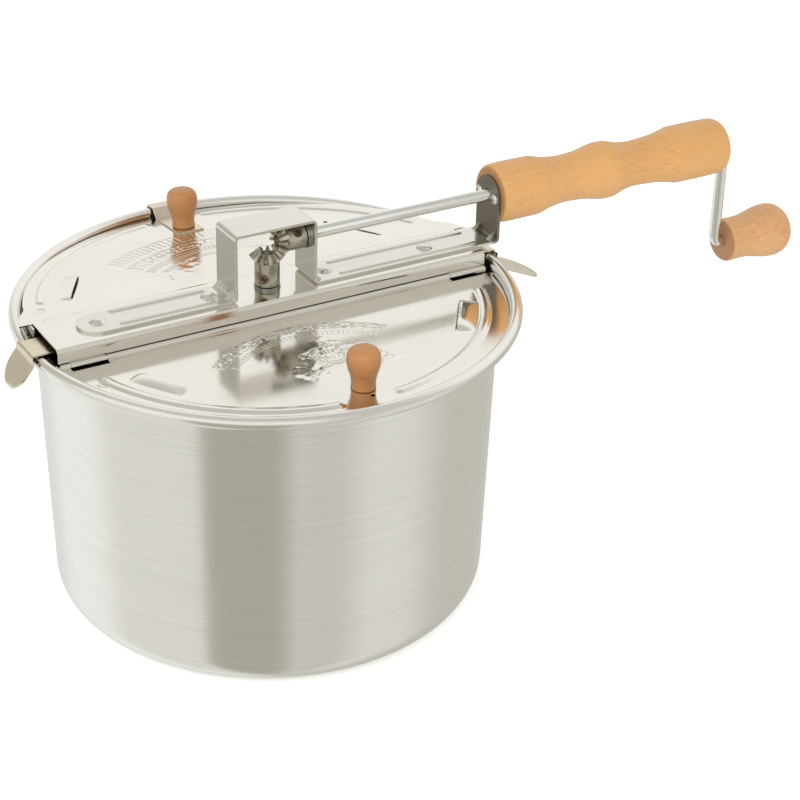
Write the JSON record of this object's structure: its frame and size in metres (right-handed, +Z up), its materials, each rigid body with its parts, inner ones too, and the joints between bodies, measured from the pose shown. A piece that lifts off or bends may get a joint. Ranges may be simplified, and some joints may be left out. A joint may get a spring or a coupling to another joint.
{
  "type": "stovetop popcorn maker",
  "caption": "Aluminium stovetop popcorn pot with a hinged half lid, snap clips, and a wooden hand crank that turns a wire stirrer through bevel gears.",
  "frame": {"origin": "centre of the pot's base", "axes": "+Z up along the pot's axis, +X along the handle and the crank rod, -Y towards the hinged half of the lid"},
  "size_m": [0.4681, 0.2554, 0.2043],
  "materials": {
    "pot_aluminium": "brushed round the wall",
    "lid_aluminium": "bright rolled sheet",
    "plated_steel": "satin plated",
    "bright_steel": "bright",
    "chrome_rod": "polished chrome",
    "spring_steel": "satin spring steel",
    "cast_gear": "cast, lightly machined",
    "handle_wood": "clear lacquer",
    "knob_wood": "clear lacquer"
  },
  "bodies": {
    "pot_body": {"pot": "pot_aluminium"},
    "lid": {"lid_rear": "lid_aluminium", "hinge_pin": "bright_steel", "gear_bracket": "plated_steel", "inner_rivets": "bright_steel", "end_rivets": "bright_steel", "shaft_bush": "cast_gear", "bush_ring": "plated_steel", "leg_bush": "cast_gear", "main_handle": "handle_wood", "handle_screws": "bright_steel", "rear_knob": "knob_wood", "rear_knob_screw": "bright_steel", "rear_knob_washer": "plated_steel", "rear_hook": "spring_steel", "left_clip_root": "spring_steel", "right_clip_root": "spring_steel"},
    "front_flap": {"lid_front": "lid_aluminium", "front_knob": "knob_wood", "front_knob_screw": "bright_steel", "front_knob_washer": "plated_steel"},
    "crank": {"crank_rod": "chrome_rod", "crank_gear": "cast_gear", "crank_gear_setscrew": "bright_steel", "crank_knob_cap": "bright_steel"},
    "crank_grip": {"crank_knob": "knob_wood"},
    "stirrer": {"stir_shaft": "bright_steel", "stir_hub": "plated_steel", "stir_arm_left": "bright_steel", "stir_arm_right": "bright_steel", "shaft_gear": "cast_gear", "shaft_gear_setscrew": "bright_steel"},
    "left_thumb_clip": {"left_clip": "spring_steel"},
    "right_thumb_clip": {"right_clip": "spring_steel"}
  },
  "joints": [
    {"name": "lid_lift", "type": "slide", "parent": "pot_body", "child": "lid", "axis": [0, 0, 1], "range_m": [0, 0.17]},
    {"name": "front_flap_hinge", "type": "hinge", "parent": "lid", "child": "front_flap", "pos_m": [0, -0.0162, 0.1554], "axis": [-1, 0, 0], "range_deg": [0, 95]},
    {"name": "crank_turn", "type": "hinge", "parent": "lid", "child": "crank", "pos_m": [0, 0, 0.1884], "axis": [1, 0, 0], "continuous": true},
    {"name": "stirrer_turn", "type": "hinge", "parent": "lid", "child": "stirrer", "pos_m": [0, 0, 0], "axis": [0, 0, 1], "continuous": true},
    {"name": "crank_grip_spin", "type": "hinge", "parent": "crank", "child": "crank_grip", "pos_m": [0.3137, 0, 0.1284], "axis": [1, 0, 0], "continuous": true},
    {"name": "left_clip_flex", "type": "hinge", "parent": "lid", "child": "left_thumb_clip", "pos_m": [-0.0973, -0.001, 0.1642], "axis": [0, 1, 0], "range_deg": [0, 5], "stiffness_Nm_per_rad": 0.5},
    {"name": "right_clip_flex", "type": "hinge", "parent": "lid", "child": "right_thumb_clip", "pos_m": [0.0973, -0.001, 0.1642], "axis": [0, -1, 0], "range_deg": [0, 5], "stiffness_Nm_per_rad": 0.5}
  ],
  "couplings": [
    {"joint": "stirrer_turn", "follows": "crank_turn", "ratio": 1}
  ]
}
